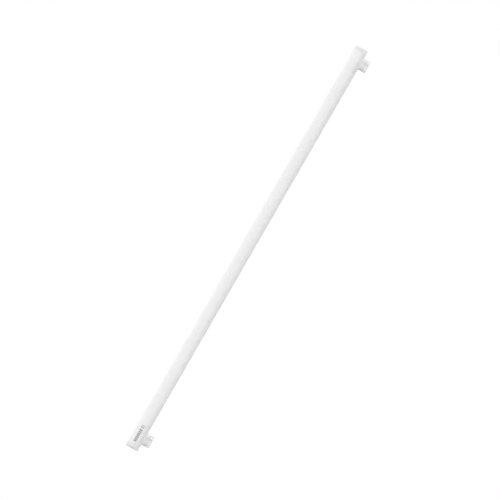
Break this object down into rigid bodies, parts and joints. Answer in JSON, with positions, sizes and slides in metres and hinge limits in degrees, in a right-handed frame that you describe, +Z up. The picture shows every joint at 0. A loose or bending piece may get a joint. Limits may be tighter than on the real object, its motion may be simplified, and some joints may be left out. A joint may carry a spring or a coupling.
{
  "type": "tubular light bulb",
  "caption": "Straight opal linear lamp with a side peg and flat metal contact at each end, light boards on a metal spreader and a driver inside a clip-on cover.",
  "frame": {"origin": "midway between the two contact cups, on the plane that their flat ends stand on", "axes": "+X along the lamp, +Y from the front to the back, +Z up from the pegs to the lit side"},
  "size_m": [1, 0.029, 0.0456],
  "materials": {
    "opal_cover": "opal, satin extruded polycarbonate",
    "white_moulding": "white, satin polycarbonate",
    "nickel_contact": "satin nickel plate on brass",
    "brass_tag": "tinned strip",
    "bare_aluminium": "mill finish",
    "white_board": "white solder mask",
    "light_chip": "yellow phosphor in a white frame",
    "solder": "bright solder",
    "insulating_film": "thin folded film",
    "driver_laminate": "paper laminate",
    "resistor_coat": "cement coat",
    "varistor_coat": "dipped epoxy",
    "black_chip": "moulded epoxy",
    "film_case": "moulded box",
    "ferrite": "sintered ferrite",
    "can_sleeve": "shrunk sleeve",
    "copper_winding": "enamelled copper wire",
    "lead_insulation": "white insulation"
  },
  "bodies": {
    "root": {"cover": "opal_cover", "rail": "white_moulding", "end_cap_left": "white_moulding", "end_cap_right": "white_moulding", "contact_cup_left": "nickel_contact", "contact_cup_right": "nickel_contact", "solder_tag_left": "brass_tag", "solder_tag_right": "brass_tag", "heat_spreader": "bare_aluminium", "light_board_left": "white_board", "light_board_right": "white_board", "light_chips_left": "light_chip", "light_chips_right": "light_chip", "board_links": "solder", "driver_tray": "insulating_film", "driver_board": "driver_laminate", "fusible_resistor": "resistor_coat", "varistor": "varistor_coat", "bridge_rectifier": "black_chip", "film_capacitor": "film_case", "line_choke": "ferrite", "bulk_capacitor": "can_sleeve", "controller_chip": "black_chip", "freewheel_diode": "black_chip", "inductor_core": "ferrite", "inductor_winding": "copper_winding", "output_capacitor": "can_sleeve", "chip_resistors": "black_chip", "output_lead_plus": "lead_insulation", "output_lead_minus": "lead_insulation", "mains_lead_left": "lead_insulation", "mains_lead_right": "lead_insulation"}
  },
  "joints": []
}
